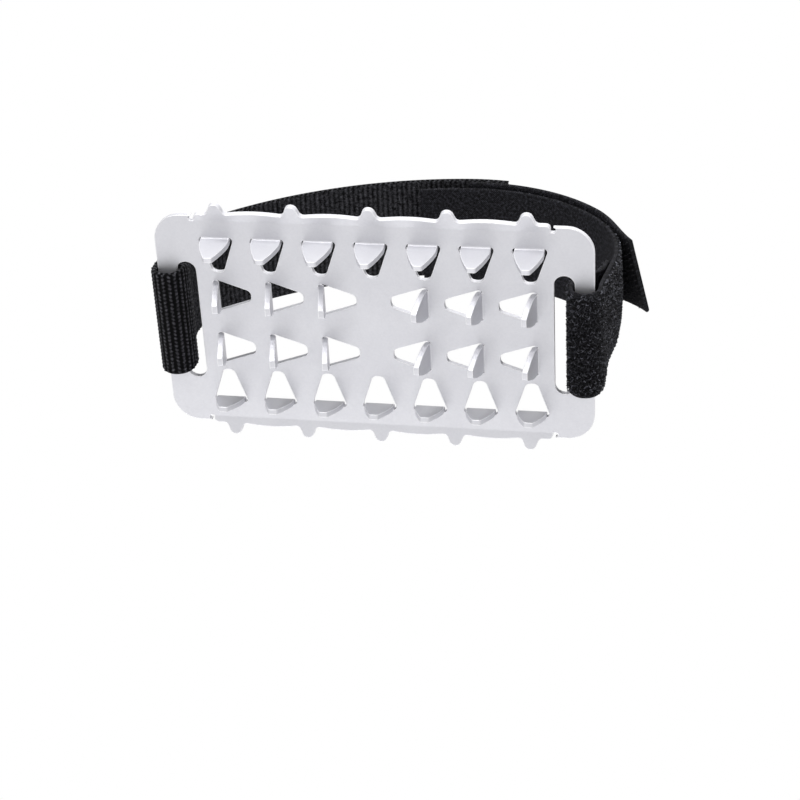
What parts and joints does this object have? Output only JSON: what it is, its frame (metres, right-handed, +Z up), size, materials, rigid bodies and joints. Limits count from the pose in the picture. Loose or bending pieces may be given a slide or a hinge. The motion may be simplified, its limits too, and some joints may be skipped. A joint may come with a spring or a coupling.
{
  "type": "ice cleat",
  "caption": "Strap-on ice cleat: a pressed steel tread plate with 26 bent-down teeth, held under a shoe by an elastic strap and a loop strap that close with hook tape.",
  "frame": {"origin": "centre of the tread plate's upper face, the one that lies against the shoe sole", "axes": "+Z up out of the upper face into the shoe, +X along the plate toward the loop strap's bar, +Y across the plate"},
  "size_m": [0.1064, 0.058, 0.0615],
  "materials": {
    "steel_sheet": "satin",
    "elastic_webbing": "matte",
    "loop_webbing": "matte",
    "hook_tape": "matte",
    "thread": "satin"
  },
  "bodies": {
    "tread_plate": {"tread_plate": "steel_sheet"},
    "elastic_fold": {"elastic_strap_fold": "elastic_webbing", "elastic_fold_stitching": "thread"},
    "elastic_shoulder": {"elastic_strap_shoulder": "elastic_webbing"},
    "elastic_left": {"elastic_strap_left": "elastic_webbing"},
    "elastic_crown": {"elastic_strap_crown": "elastic_webbing"},
    "tape_root": {"elastic_strap_end": "elastic_webbing", "hook_tape_sewn_end": "hook_tape", "hook_tape_stitching": "thread"},
    "tape_middle": {"hook_tape_middle": "hook_tape"},
    "tape_tip": {"hook_tape_tip": "hook_tape"},
    "loop_fold": {"loop_strap_fold": "loop_webbing", "loop_fold_stitching": "thread"},
    "loop_rise": {"loop_strap_rise": "loop_webbing"},
    "loop_shoulder": {"loop_strap_shoulder": "loop_webbing"},
    "loop_span": {"loop_strap_span": "loop_webbing"},
    "loop_end": {"loop_strap_end": "loop_webbing"}
  },
  "joints": [
    {"name": "elastic_swing", "type": "hinge", "parent": "tread_plate", "child": "elastic_fold", "pos_m": [-0.0462, 0, -0.0006], "axis": [0, -1, 0], "range_deg": [0, 84]},
    {"name": "elastic_shoulder_bend", "type": "hinge", "parent": "elastic_fold", "child": "elastic_shoulder", "pos_m": [-0.04757, 0, 0.01398], "axis": [0, -1, 0], "range_deg": [0, 26]},
    {"name": "elastic_left_bend", "type": "hinge", "parent": "elastic_shoulder", "child": "elastic_left", "pos_m": [-0.04277, 0, 0.02753], "axis": [0, -1, 0], "range_deg": [0, 37]},
    {"name": "elastic_crown_bend", "type": "hinge", "parent": "elastic_left", "child": "elastic_crown", "pos_m": [-0.01704, 0, 0.04522], "axis": [0, -1, 0], "range_deg": [0, 22]},
    {"name": "tape_root_bend", "type": "hinge", "parent": "elastic_crown", "child": "tape_root", "pos_m": [0.01332, 0, 0.05251], "axis": [0, -1, 0], "range_deg": [0, 24]},
    {"name": "tape_middle_bend", "type": "hinge", "parent": "tape_root", "child": "tape_middle", "pos_m": [0.03101, 0, 0.04798], "axis": [0, -1, 0], "range_deg": [0, 26]},
    {"name": "tape_peel", "type": "hinge", "parent": "tape_middle", "child": "tape_tip", "pos_m": [0.0456, 0, 0.03766], "axis": [0, -1, 0], "range_deg": [0, 45]},
    {"name": "loop_swing", "type": "hinge", "parent": "tread_plate", "child": "loop_fold", "pos_m": [0.0462, 0, -0.0006], "axis": [0, 1, 0], "range_deg": [0, 83]},
    {"name": "loop_rise_bend", "type": "hinge", "parent": "loop_fold", "child": "loop_rise", "pos_m": [0.05153, 0, 0.01334], "axis": [0, 1, 0], "range_deg": [0, 26]},
    {"name": "loop_shoulder_bend", "type": "hinge", "parent": "loop_rise", "child": "loop_shoulder", "pos_m": [0.04442, 0, 0.03659], "axis": [0, 1, 0], "range_deg": [0, 38]},
    {"name": "loop_span_bend", "type": "hinge", "parent": "loop_shoulder", "child": "loop_span", "pos_m": [0.0304, 0, 0.0465], "axis": [0, 1, 0], "range_deg": [0, 26]},
    {"name": "loop_end_bend", "type": "hinge", "parent": "loop_span", "child": "loop_end", "pos_m": [0.01348, 0, 0.04941], "axis": [0, 1, 0], "range_deg": [0, 18]}
  ],
  "couplings": [
    {"joint": "elastic_shoulder_bend", "follows": "elastic_swing", "ratio": 0.30357},
    {"joint": "elastic_left_bend", "follows": "elastic_swing", "ratio": 0.42857},
    {"joint": "elastic_crown_bend", "follows": "elastic_swing", "ratio": 0.25},
    {"joint": "tape_root_bend", "follows": "elastic_swing", "ratio": 0.27679},
    {"joint": "tape_middle_bend", "follows": "elastic_swing", "ratio": 0.30357},
    {"joint": "loop_swing", "follows": "elastic_swing", "ratio": 0.97619},
    {"joint": "loop_rise_bend", "follows": "elastic_swing", "ratio": 0.29762},
    {"joint": "loop_shoulder_bend", "follows": "elastic_swing", "ratio": 0.4494},
    {"joint": "loop_span_bend", "follows": "elastic_swing", "ratio": 0.30357},
    {"joint": "loop_end_bend", "follows": "elastic_swing", "ratio": 0.19995}
  ]
}
